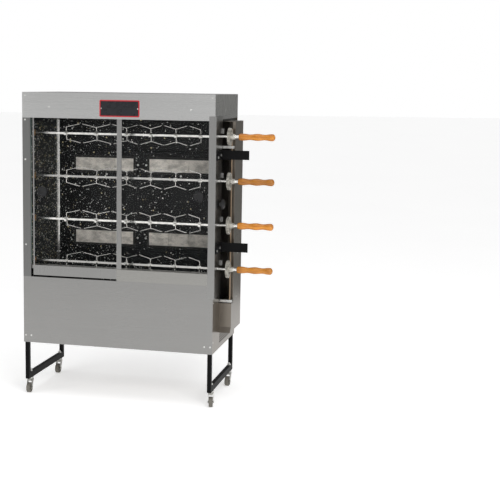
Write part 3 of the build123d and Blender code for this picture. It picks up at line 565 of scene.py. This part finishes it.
def outward(piece: bpy.types.Object) -> None:
    """Turns a closed mesh's faces outwards."""
    work = bmesh.new()
    work.from_mesh(piece.data)
    bmesh.ops.recalc_face_normals(work, faces=work.faces)
    work.to_mesh(piece.data)
    work.free()


def crease(piece: bpy.types.Object, degrees: float = 35.0) -> None:
    """Keeps edges sharper than an angle crisp in a smooth-shaded mesh."""
    work = bmesh.new()
    work.from_mesh(piece.data)
    for edge in work.edges:
        edge.smooth = len(edge.link_faces) == 2 and edge.calc_face_angle(0.0) < math.radians(degrees)
    work.to_mesh(piece.data)
    work.free()


def softened(node: str, body: str, width: float, material: bpy.types.Material) -> bpy.types.Object:
    """Replaces a CAD node by a copy whose folds and cut edges are slightly rounded.

    Args:
        node: the node's name.
        body: the body it rides on.
        width: the bevel's width in metres.
        material: the finish of the copy.

    Returns:
        The new piece.
    """
    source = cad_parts[node]
    mesh = source.data.copy()
    mesh.materials.clear()
    piece = bpy.data.objects.new(node + "_sheet", mesh)
    bpy.context.scene.collection.objects.link(piece)
    work = bmesh.new()
    work.from_mesh(mesh)
    bmesh.ops.remove_doubles(work, verts=work.verts, dist=WELD)
    bmesh.ops.dissolve_limit(work, angle_limit=FLAT_ANGLE, verts=work.verts, edges=work.edges)
    work.to_mesh(mesh)
    work.free()
    mesh.polygons.foreach_set("use_smooth", np.zeros(len(mesh.polygons), bool))
    bevel = piece.modifiers.new("soft edges", "BEVEL")
    bevel.width = width
    bevel.segments = 2
    bevel.limit_method = "ANGLE"
    bevel.angle_limit = FOLD_ANGLE
    dress(piece, material)
    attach(piece, body)
    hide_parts(node)
    return piece


def islands(node: str) -> List[Tuple[np.ndarray, np.ndarray]]:
    """Finds the lowest and highest corner of each separate solid in a CAD node.

    Each vertex starts with its own number. Every edge then hands the lower number of its two ends to
    both, again and again, until each solid carries one number.

    Args:
        node: the node's name.

    Returns:
        One pair of corners for each solid, in the order of their first vertices.
    """
    work = bmesh.new()
    work.from_mesh(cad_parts[node].data)
    bmesh.ops.remove_doubles(work, verts=work.verts, dist=WELD)
    welded = bpy.data.meshes.new(node + "_welded")
    work.to_mesh(welded)
    work.free()
    points = np.empty(len(welded.vertices) * 3, np.float32)
    welded.vertices.foreach_get("co", points)
    edges = np.empty(len(welded.edges) * 2, np.int32)
    welded.edges.foreach_get("vertices", edges)
    bpy.data.meshes.remove(welded)
    points, edges = points.astype(float).reshape(-1, 3), edges.reshape(-1, 2)
    label, last = np.arange(len(points)), None
    while last is None or (label != last).any():
        last = label.copy()
        lowest = last[edges].min(1)
        np.minimum.at(label, edges[:, 0], lowest)
        np.minimum.at(label, edges[:, 1], lowest)
    return [(points[label == k].min(0), points[label == k].max(0)) for k in np.unique(label)]


def dress(piece: bpy.types.Object, *materials: bpy.types.Material) -> None:
    """Gives a piece its materials, replacing any it has."""
    piece.data.materials.clear()
    for material in materials:
        piece.data.materials.append(material)


def dress_node(node: str, material: bpy.types.Material) -> None:
    """Gives a CAD node's object a new finish."""
    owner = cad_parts[node]
    if not owner.material_slots:
        owner.data.materials.append(material)
    for place in owner.material_slots:
        place.material = material


# --------------------------------------------------------------------------- finishes of this oven
@dataclass
class Finishes:
    """The finishes that several sub-assemblies share."""

    fascia_steel: bpy.types.Material
    front_steel: bpy.types.Material
    post_steel: bpy.types.Material
    trim_steel: bpy.types.Material
    sill_steel: bpy.types.Material
    side_steel: bpy.types.Material
    enamel: bpy.types.Material
    plain_enamel: bpy.types.Material
    black_paint: bpy.types.Material
    zinc: bpy.types.Material
    bright: bpy.types.Material
    bronze: bpy.types.Material
    black_plastic: bpy.types.Material

    @classmethod
    def make(cls) -> "Finishes":
        """Returns the set, each material made once."""
        return cls(
            # the stainless sheets are one steel: their differing tones are painted light and shade, each base
            # colour set to how bright the sheet shows in its place, lightest on the fascia, darkest on the
            # posts, dark and warm on the sides
            fascia_steel=BrushedSteel("steel_fascia", Grain.ALONG_X, (0.48, 0.48, 0.475), 0.27).make(),
            front_steel=BrushedSteel("steel_front", Grain.ALONG_X, (0.275, 0.272, 0.265), 0.29).make(),
            post_steel=BrushedSteel("steel_post", Grain.ALONG_Z, (0.175, 0.175, 0.172), 0.29).make(),
            trim_steel=BrushedSteel("steel_trim", Grain.ALONG_Z, (0.27, 0.268, 0.262), 0.26).make(),
            sill_steel=BrushedSteel("steel_sill", Grain.ALONG_X, (0.30, 0.295, 0.28), 0.29).make(),
            side_steel=BrushedSteel("steel_side", Grain.ALONG_Z, (0.20, 0.178, 0.152), 0.30).make(),
            enamel=FleckedEnamel("enamel_flecked", 0.6).make(),
            plain_enamel=FleckedEnamel("enamel_sparse", 0.12).make(),
            black_paint=Painted("black_powder_coat", (0.0022, 0.0022, 0.0024), 0.5, sheen=0.1).make(),
            zinc=PlainMetal("zinc_plate", (0.62, 0.62, 0.60), 0.28).make(),
            bright=PlainMetal("bright_steel", (0.80, 0.79, 0.76), 0.18, (25.0, 600.0, 600.0), 0.1).make(),
            bronze=PlainMetal("bronze", (0.46, 0.27, 0.12), 0.34).make(),
            black_plastic=Moulded("black_phenolic").make(),
        )


# --------------------------------------------------------------------------- cabinet
@dataclass
class Cabinet:
    """Stainless skin, door frame, name plate and fasteners."""

    finishes: Finishes
    edge: float = 0.0006
    head_height: float = 0.0014

    def build(self) -> None:
        """Rounds the sheets' edges and dresses the cabinet."""
        f = self.finishes
        # each sheet takes a lighter or darker tone of the same stainless steel: painted light and shade
        sheets = {
            "hood": f.fascia_steel,
            "left_side_panel": f.post_steel,
            "back_panel": f.side_steel,
            "lower_front_panel": f.front_steel,
            "lower_side_panel": f.side_steel,
            "base_pan": f.side_steel,
            "door_sill": f.sill_steel,
            "door_head_track": f.sill_steel,
            "door_frame": f.trim_steel,
        }
        for node, steel in sheets.items():
            softened(node, "oven", self.edge, steel)
        self.plate()
        self.heads()

    def heads(self) -> None:
        """Rounds every screw and rivet head: its radius falls as a quarter ellipse over the head's height."""
        stacks = []
        for low, high in islands("fasteners"):
            size = high - low
            along = int(np.argmin(size))
            axis = Vector((1, 0, 0)) if along == 0 else Vector((0, -1, 0))
            out = high[0] if along == 0 else -low[1]
            deep = size[along] - self.head_height
            centre = Vector((low + high) / 2)
            centre[along] = (out - self.head_height) * (1.0 if along == 0 else -1.0)
            radius = float(np.sort(size)[-1]) / 2
            turn = np.linspace(0.0, math.pi / 2, 7)
            rise = np.concatenate([[-deep, -1e-5], self.head_height * (0.25 + 0.75 * np.sin(turn))])
            width = np.concatenate([[radius * 0.5, radius * 0.5], radius * np.cos(turn).clip(0.12)])
            rise = np.insert(rise, 2, 0.0)
            width = np.insert(width, 2, radius)
            stacks.append(lathe(rise, width, centre, axis, 20))
        piece = joined("fastener_heads", stacks)
        crease(piece, 50)
        dress(piece, self.finishes.zinc)
        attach(piece, "oven")
        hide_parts("fasteners")

    def plate(self) -> None:
        """Dresses the blank plate on the fascia."""
        low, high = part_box("name_plate")
        centre, half = (low + high) / 2, (high - low) / 2
        finish = BorderedPlate("plate_enamel", (centre.x, centre.z), (half.x, half.z))
        softened("name_plate", "oven", 0.0004, finish.make())


# --------------------------------------------------------------------------- chamber
@dataclass
class Chamber:
    """Enamelled walls, rear corner strip and drip tray."""

    finishes: Finishes
    sheet: float = 0.0015
    trim_radius: float = 0.005
    trim_leg: float = 0.007
    trim_z: Tuple[float, float] = (0.54, 1.40)
    screw_z: Tuple[float, ...] = (1.245, 1.056, 0.859, 0.667)
    rib_z: Tuple[float, ...] = (1.210, 0.703)
    rib_rise: float = 0.003
    rib_half: float = 0.005

    def build(self) -> None:
        """Dresses the walls and adds the corner strip and the wall's ribs."""
        f = self.finishes
        softened("chamber_back_wall", "oven", 0.0005, f.enamel)
        softened("chamber_left_wall", "oven", 0.0005, f.enamel)
        softened("chamber_right_wall", "oven", 0.0005, f.plain_enamel)
        softened("chamber_floor", "oven", 0.0005, f.enamel)
        softened("drip_tray", "oven", 0.0006, f.side_steel)
        dress_node("spit_bushes", f.bronze)
        dress_node("spit_saddles", f.bronze)
        self.corner_trim()
        self.trim_screws()
        self.wall_ribs()

    def corner(self) -> Tuple[float, float]:
        """Returns the X of the left wall's face and the Y of the back wall's face."""
        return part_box("chamber_left_wall")[1].x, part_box("chamber_back_wall")[1].y - self.sheet

    def corner_trim(self) -> None:
        """Folds the strip in the rear left corner: a quarter circle between two flat legs, carried up Z."""
        wall, back = self.corner()
        radius, leg = self.trim_radius, self.trim_leg
        turn = np.linspace(0.0, math.pi / 2, 9)
        arc_x = wall + radius * (1 - np.cos(turn))
        arc_y = back - radius * (1 - np.sin(turn))
        x = np.concatenate([[wall + 0.2 * MM], arc_x, [wall + radius + leg]])
        y = np.concatenate([[back - radius - leg], arc_y, [back - 0.2 * MM]])
        z = np.linspace(self.trim_z[0], self.trim_z[1], 24)
        heights = np.repeat(z, x.size).reshape(z.size, -1)
        points = np.stack([np.tile(x, (z.size, 1)), np.tile(y, (z.size, 1)), heights], -1)
        faces = grid_faces(z.size, x.size, 0, False)[:, ::-1]
        piece = mesh_piece("corner_trim", points.reshape(-1, 3), faces)
        wall_mod = piece.modifiers.new("sheet", "SOLIDIFY")
        wall_mod.thickness = 1.0 * MM
        wall_mod.offset = 1.0
        dress(piece, self.finishes.bright)
        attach(piece, "oven")

    def trim_screws(self) -> None:
        """Sets a pair of pan-head screws beside the corner strip at each fixing height."""
        wall, back = self.corner()
        turn = np.linspace(0.0, math.pi / 2, 6)
        rise = np.concatenate([[0.0], 2.2 * MM * (0.3 + 0.7 * np.sin(turn))])
        width = np.concatenate([[4.2 * MM], 4.2 * MM * np.cos(turn).clip(0.1)])
        stacks = []
        for height in self.screw_z:
            on_back = Vector((wall + self.trim_radius + 0.6 * self.trim_leg, back - 1.3 * MM, height))
            on_wall = Vector((wall + 1.3 * MM, back - self.trim_radius - 0.6 * self.trim_leg, height))
            stacks.append(lathe(rise, width, on_back, Vector((0, -1, 0)), 18))
            stacks.append(lathe(rise, width, on_wall, Vector((1, 0, 0)), 18))
        piece = joined("trim_screws", stacks)
        dress(piece, self.finishes.zinc)
        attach(piece, "oven")

    def wall_ribs(self) -> None:
        """Presses two half-round ribs along the back wall, each a half ellipse carried along X."""
        low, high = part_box("chamber_floor")
        back = self.corner()[1]
        x = np.linspace(low.x + 22 * MM, high.x - 2 * MM, 60)
        turn = np.linspace(0.0, math.pi, 9)
        points, faces, start = [], [], 0
        for height in self.rib_z:
            y = back - self.rib_rise * np.sin(turn)
            z = height + self.rib_half * np.cos(turn)
            grid = np.stack([np.repeat(x, turn.size), np.tile(y, x.size), np.tile(z, x.size)], -1)
            points.append(grid)
            faces.extend(ring_stack(grid.reshape(x.size, turn.size, 3), start))
            start += grid.shape[0]
        piece = mesh_piece("wall_ribs", np.concatenate(points), faces)
        outward(piece)
        dress(piece, self.finishes.enamel)
        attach(piece, "oven")


# --------------------------------------------------------------------------- burners
@dataclass
class Burners:
    """Infrared burners and their gas line."""

    finishes: Finishes

    def build(self) -> None:
        """Dresses the burner bodies, their tiles and the pipes."""
        softened("burner_tiles", "oven", 0.0006, PerforatedCeramic("burner_ceramic").make())
        dress_node("burner_housings", Painted("burner_black", (0.018, 0.017, 0.016), 0.6).make())
        dress_node("gas_manifold", Painted("pipe_grey", (0.22, 0.22, 0.22), 0.35).make())
        dress_node("gas_inlet", PlainMetal("brass", (0.66, 0.47, 0.17), 0.22).make())


# --------------------------------------------------------------------------- doors
@dataclass
class SlidingDoor:
    """A frameless glass pane with its round finger pull."""

    side: str
    finishes: Finishes
    glass: bpy.types.Material
    edge_glass: bpy.types.Material

    def build(self) -> None:
        """Makes the pane with polished edges and dresses the pull."""
        body = f"{self.side}_door"
        pane = softened(f"{self.side}_door_glass", body, 0.0004, self.glass)
        pane.data.materials.append(self.edge_glass)
        normals = np.empty(len(pane.data.polygons) * 3)
        pane.data.polygons.foreach_get("normal", normals)
        narrow = (np.abs(normals.reshape(-1, 3)[:, 1]) < 0.9).astype(np.int32)
        pane.data.polygons.foreach_set("material_index", narrow)
        dress_node(f"{self.side}_door_pull", self.finishes.black_plastic)


# --------------------------------------------------------------------------- spits
@dataclass
class Spit:
    """One spit: bar, meat forks, gear and handle."""

    number: int
    finishes: Finishes
    wood: bpy.types.Material
    cast: bpy.types.Material
    fork_steel: bpy.types.Material
    rows: int = 120

    @property
    def body(self) -> str:
        """Returns the name of the spit's body."""
        return f"spit_{self.number}"

    def build(self) -> None:
        """Builds the handle and dresses the metal pieces."""
        dress_node(f"{self.body}_shaft", self.finishes.bright)
        dress_node(f"{self.body}_forks", self.fork_steel)
        dress_node(f"{self.body}_gear", self.cast)
        self.handle()

    def handle(self) -> None:
        """Turns the handle: radius = mean + three bulges that fade to a rounded tip.

        The radius follows a cosine with three crests along the handle, under an envelope that rounds
        both ends, with two shallow grooves near the ferrule end.
        """
        low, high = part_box(f"{self.body}_handle")
        length = high.x - low.x
        outer = (high.z - low.z) / 2 - 0.0001
        t = np.linspace(0.0, 1.0, self.rows)
        wave = 0.5 + 0.5 * np.cos(2 * math.pi * (t * 2.55 - 0.32))
        radius = outer * (0.80 + 0.20 * wave)
        groove = 0.0007 * (np.exp(-((t - 0.07) / 0.006) ** 2) + np.exp(-((t - 0.095) / 0.006) ** 2))
        ends = np.clip(1 - ((0.03 - t) / 0.03).clip(0) ** 2, 0, 1) ** 0.5 * 0.35 + 0.65
        tip = np.sqrt(np.clip(1 - ((t - 0.93).clip(0) / 0.07) ** 2, 0.0, 1.0))
        radius = np.maximum((radius - groove) * ends * tip, 0.0004)
        centre = (low + high) / 2
        rings = lathe(t * length, radius, Vector((low.x, centre.y, centre.z)), Vector((1, 0, 0)), 56)
        piece = joined(f"{self.body}_grip", [rings])
        crease(piece, 50)
        dress(piece, self.wood)
        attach(piece, self.body)
        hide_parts(f"{self.body}_handle")


# --------------------------------------------------------------------------- drive
@dataclass
class WormDrive:
    """Vertical worm shaft, its brackets, the motor and the cover."""

    finishes: Finishes

    def build(self) -> None:
        """Dresses the drive."""
        f = self.finishes
        dress_node("drive_shaft", PlainMetal("oiled_steel", (0.26, 0.19, 0.13), 0.3).make())
        dress_node("shaft_brackets", f.zinc)
        dress_node("gear_motor", Painted("motor_grey", (0.10, 0.11, 0.12), 0.4).make())
        softened("drive_cover", "oven", 0.0006, f.side_steel)


@dataclass
class CornerCover:
    """Cover of the spit slots, its clamp knob and the two side arms."""

    finishes: Finishes

    def build(self) -> None:
        """Rounds the cover's edges and dresses the pieces on it."""
        f = self.finishes
        softened("corner_cover", "oven", 0.0006, f.trim_steel)
        dress_node("side_arms", f.black_paint)
        dress_node("arm_bolts", f.zinc)
        dress_node("cover_knob", f.black_plastic)


# --------------------------------------------------------------------------- leg frame
@dataclass
class LegFrame:
    """Welded square tubes under the cabinet, with the caster stems."""

    finishes: Finishes

    def build(self) -> None:
        """Dresses the tubes and the stems."""
        dress_node("leg_frame", self.finishes.black_paint)
        dress_node("caster_stems", self.finishes.zinc)


@dataclass
class Caster:
    """One swivel caster."""

    number: int
    finishes: Finishes
    rubber: bpy.types.Material
    # darker copy of the zinc plate for the fork: painted shade
    shaded_zinc: bpy.types.Material

    def build(self) -> None:
        """Dresses the fork and the wheel."""
        softened(f"caster_{self.number}_fork", f"caster_{self.number}_swivel", 0.0004, self.shaded_zinc)
        dress_node(f"caster_{self.number}_wheel", self.rubber)


# --------------------------------------------------------------------------- studio
@dataclass
class Studio:
    """Pale floor, soft lights and the camera."""

    place: Tuple[float, float, float] = (1.545, -5.3785, 1.551)
    turn: Tuple[float, float, float] = (13.85, 7.37, 0.7)
    focal: float = 1117.0
    centre: Tuple[float, float] = (200.0, 230.0)
    image: float = 500.0

    def build(self) -> None:
        """Sets up the stage, the lights and the camera."""
        self.floor()
        self.flag()
        self.sky()
        self.lights()
        self.camera()

    def floor(self) -> None:
        """Lays a wide plain floor."""
        side = np.linspace(-60.0, 60.0, 3)
        x, y = np.meshgrid(side, side, indexing="ij")
        points = np.stack([x.ravel(), y.ravel(), np.full(x.size, -0.0005)], -1)
        piece = mesh_piece("studio_floor", points, grid_faces(3, 3, 0, False), False)
        tree = Tree("studio_floor_paint")
        greys = [(0.3, (0.92, 0.92, 0.92)), (0.7, (0.94, 0.94, 0.94))]
        tone = tree.ramp(tree.noise((0.6, 0.6, 0.6), 2.0), greys)
        tree.set(Base_Color=tone, Roughness=0.9, Specular_IOR_Level=0.1)
        tree.set(Emission_Color=(1.0, 1.0, 1.0, 1.0), Emission_Strength=0.42)
        dress(piece, tree.material)
        piece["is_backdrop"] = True

    def flag(self) -> None:
        """Stands a grey cloth behind the oven that only shows as a reflection in the polished sides."""
        x, z = np.meshgrid(np.linspace(0.2, 4.4, 3), np.linspace(0.0, 3.2, 3), indexing="ij")
        points = np.stack([x.ravel(), np.full(x.size, 2.6), z.ravel()], -1)
        piece = mesh_piece("studio_flag", points, grid_faces(3, 3, 0, False), False)
        tree = Tree("studio_flag_cloth")
        greys = [(0.3, (0.20, 0.20, 0.195)), (0.7, (0.26, 0.26, 0.25))]
        tone = tree.ramp(tree.noise((1.5, 1.5, 1.5), 2.0), greys)
        tree.set(Base_Color=tone, Roughness=1.0, Specular_IOR_Level=0.0)
        dress(piece, tree.material)
        piece.visible_camera = False
        piece.visible_diffuse = False
        piece.visible_shadow = False
        piece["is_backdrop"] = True

    def sky(self) -> None:
        """Sets a pale surround that is brighter in front and to the right, and white to the eye."""
        world = bpy.data.worlds.new("studio_world")
        world.use_nodes = True
        nodes, links = world.node_tree.nodes, world.node_tree.links
        background = nodes["Background"]
        way = nodes.new("ShaderNodeSeparateXYZ")
        links.new(nodes.new("ShaderNodeTexCoord").outputs["Generated"], way.inputs[0])
        spans = (("Y", (-1.0, 1.0, 1.0, 0.40)), ("X", (-0.44, -0.16, 0.42, 1.0)))
        fades = []
        for axis, span in spans:
            fade = nodes.new("ShaderNodeMapRange")
            links.new(way.outputs[axis], fade.inputs["Value"])
            for name, value in zip(("From Min", "From Max", "To Min", "To Max"), span):
                fade.inputs[name].default_value = value
            fades.append(fade.outputs["Result"])
        both = nodes.new("ShaderNodeMath")
        both.operation = "MULTIPLY"
        links.new(fades[0], both.inputs[0])
        links.new(fades[1], both.inputs[1])
        seen = nodes.new("ShaderNodeLightPath")
        level = nodes.new("ShaderNodeMath")
        level.operation = "MAXIMUM"
        links.new(seen.outputs["Is Camera Ray"], level.inputs[0])
        links.new(both.outputs[0], level.inputs[1])
        links.new(level.outputs[0], background.inputs["Strength"])
        background.inputs["Color"].default_value = (1.0, 1.0, 1.0, 1.0)
        bpy.context.scene.world = world
        bpy.context.scene.view_settings.view_transform = "Standard"

    def lamp(self, name: str, place: Vector, target: Vector, size: Tuple[float, float], power: float) -> None:
        """Hangs a soft rectangular lamp.

        Args:
            name: the lamp's name.
            place: its position.
            target: the point it faces.
            size: its width and height.
            power: its power in watts.
        """
        data = bpy.data.lights.new(name, "AREA")
        data.shape = "RECTANGLE"
        data.size, data.size_y = size
        data.energy = power
        lamp = bpy.data.objects.new(name, data)
        lamp.location = place
        lamp.rotation_euler = (target - place).to_track_quat("-Z", "Y").to_euler()
        bpy.context.scene.collection.objects.link(lamp)

    def lights(self) -> None:
        """Hangs a key at the front right, a fill at the left and a top light."""
        aim = Vector((0.0, 0.0, 0.8))
        self.lamp("key", Vector((2.4, -3.6, 2.6)), aim, (1.6, 1.6), 60.0)
        self.lamp("fill", Vector((-3.0, -2.6, 1.8)), aim, (1.2, 2.0), 16.0)
        self.lamp("top", Vector((0.0, -0.6, 4.0)), aim, (3.0, 2.4), 25.0)

    def camera(self) -> None:
        """Places the camera: yaw to the left, pitch down and roll, from the focal length in image widths."""
        yaw, pitch, roll = (math.radians(a) for a in self.turn)
        ahead = Vector((-math.sin(yaw) * math.cos(pitch), math.cos(yaw) * math.cos(pitch), -math.sin(pitch)))
        flat = Vector((math.cos(yaw), math.sin(yaw), 0.0))
        rise = flat.cross(ahead)
        right = math.cos(roll) * flat + math.sin(roll) * rise
        up = -math.sin(roll) * flat + math.cos(roll) * rise
        data = bpy.data.cameras.new("view")
        data.sensor_width = 36.0
        data.lens = self.focal / self.image * 36.0
        data.shift_x = 0.5 - self.centre[0] / self.image
        data.shift_y = self.centre[1] / self.image - 0.5
        data.clip_end = 60.0
        camera = bpy.data.objects.new("view", data)
        turn = Matrix((right, up, -ahead)).transposed()
        camera.matrix_world = Matrix.Translation(self.place) @ turn.to_4x4()
        bpy.context.scene.collection.objects.link(camera)
        bpy.context.scene.camera = camera


def main() -> None:
    """Builds the sub-assemblies in order and reports them."""
    logging.basicConfig(level=logging.INFO, format="%(message)s")
    finishes = Finishes.make()
    glass = TemperedGlass("door_glass").make()
    edge_glass = TemperedGlass("door_glass_edge", (0.55, 0.74, 0.68), 0.6).make()
    woods = [TurnedWood(f"handle_wood_{k}", shade).make() for k, shade in enumerate(WOOD_SHADES, 1)]
    cast = SandCast("gear_casting").make()
    wire = PlainMetal("fork_wire", (0.74, 0.73, 0.70), 0.2).make()
    rubber = Moulded("caster_rubber", (0.12, 0.112, 0.098), 0.6, 0.15).make()
    # darker copy of the zinc plate for the caster forks: painted shade, the forks drawn as if in shadow
    shaded_zinc = PlainMetal("zinc_painted_shade", (0.36, 0.355, 0.33), 0.34, (90.0, 90.0, 90.0), 0.4).make()
    assemblies = [Cabinet(finishes), Chamber(finishes), Burners(finishes), WormDrive(finishes)]
    assemblies += [CornerCover(finishes), LegFrame(finishes)]
    assemblies += [SlidingDoor(side, finishes, glass, edge_glass) for side in ("left", "right")]
    assemblies += [Spit(k, finishes, wood, cast, wire) for k, wood in enumerate(woods, 1)]
    assemblies += [Caster(k, finishes, rubber, shaded_zinc) for k in range(1, 5)]
    assemblies.append(Studio())
    for assembly in assemblies:
        assembly.build()
        LOG.info("built %s", type(assembly).__name__)
    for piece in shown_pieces():
        LOG.info("piece %s", piece.name)


if __name__ == "__main__":
    main()
